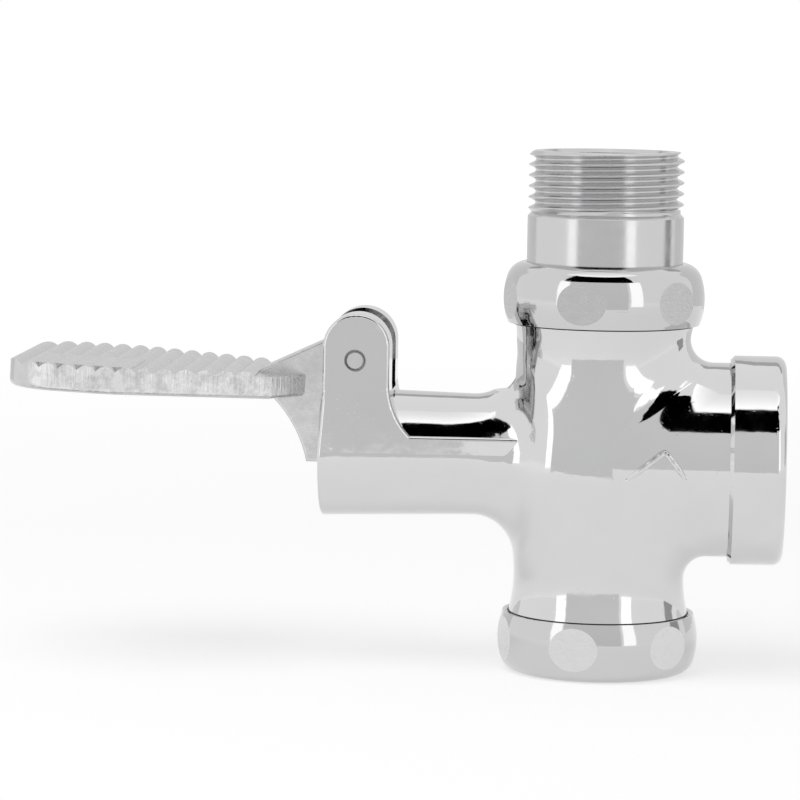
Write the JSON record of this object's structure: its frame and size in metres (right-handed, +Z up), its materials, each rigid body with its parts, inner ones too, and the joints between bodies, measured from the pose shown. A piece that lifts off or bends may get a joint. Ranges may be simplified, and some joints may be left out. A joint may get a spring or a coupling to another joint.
{
  "type": "foot pedal flush valve",
  "caption": "Foot operated flush valve: cross-shaped body, side inlet socket, threaded outlet tail, bottom cap and a ribbed pedal that pushes a sprung rod and seal off its seat.",
  "frame": {"origin": "centre of the mouth of the inlet socket, on the axis of the arm and the push rod", "axes": "+X out of the inlet socket, +Z up along the outlet tail, the pedal reaches towards -X"},
  "size_m": [0.1651, 0.0552, 0.1118],
  "materials": {
    "plated_body": "polished chrome plate on cast brass",
    "plated_tail": "turned and chrome plated, a little satin",
    "plated_nuts": "polished chrome plate with matt milled flats",
    "plated_pedal": "satin plated casting with a filed edge",
    "steel": "bright drawn steel",
    "spring_steel": "bright spring wire",
    "brass": "turned brass",
    "rubber": "matt black rubber"
  },
  "bodies": {
    "valve": {"valve_body": "plated_body", "outlet_tail": "plated_tail", "tail_union_nut": "plated_nuts", "bottom_cap": "plated_nuts", "pivot_pin": "steel", "tail_gasket": "rubber", "cap_gasket": "rubber", "seat_ring": "brass", "gland_nut": "brass", "gland_washer": "brass", "rod_seals": "rubber"},
    "pedal": {"pedal_lever": "plated_pedal"},
    "push_rod": {"push_rod": "steel", "spring_cup": "steel", "return_spring": "spring_steel", "clamp_washer": "brass", "seat_seal": "rubber", "valve_disc": "brass", "lock_washer": "spring_steel", "disc_nut": "brass"}
  },
  "joints": [
    {"name": "pedal_hinge", "type": "hinge", "parent": "valve", "child": "pedal", "pos_m": [-0.0914, 0, 0.0208], "axis": [0, -1, 0], "range_deg": [0, 12], "stiffness_Nm_per_rad": 1.39, "springref_deg": -16.04},
    {"name": "push_rod_slide", "type": "slide", "parent": "valve", "child": "push_rod", "axis": [1, 0, 0], "range_m": [0, 0.00415], "deforming": ["return_spring"]}
  ],
  "couplings": [
    {"joint": "push_rod_slide", "follows": "pedal_hinge", "m_per_rad": 0.0198}
  ]
}
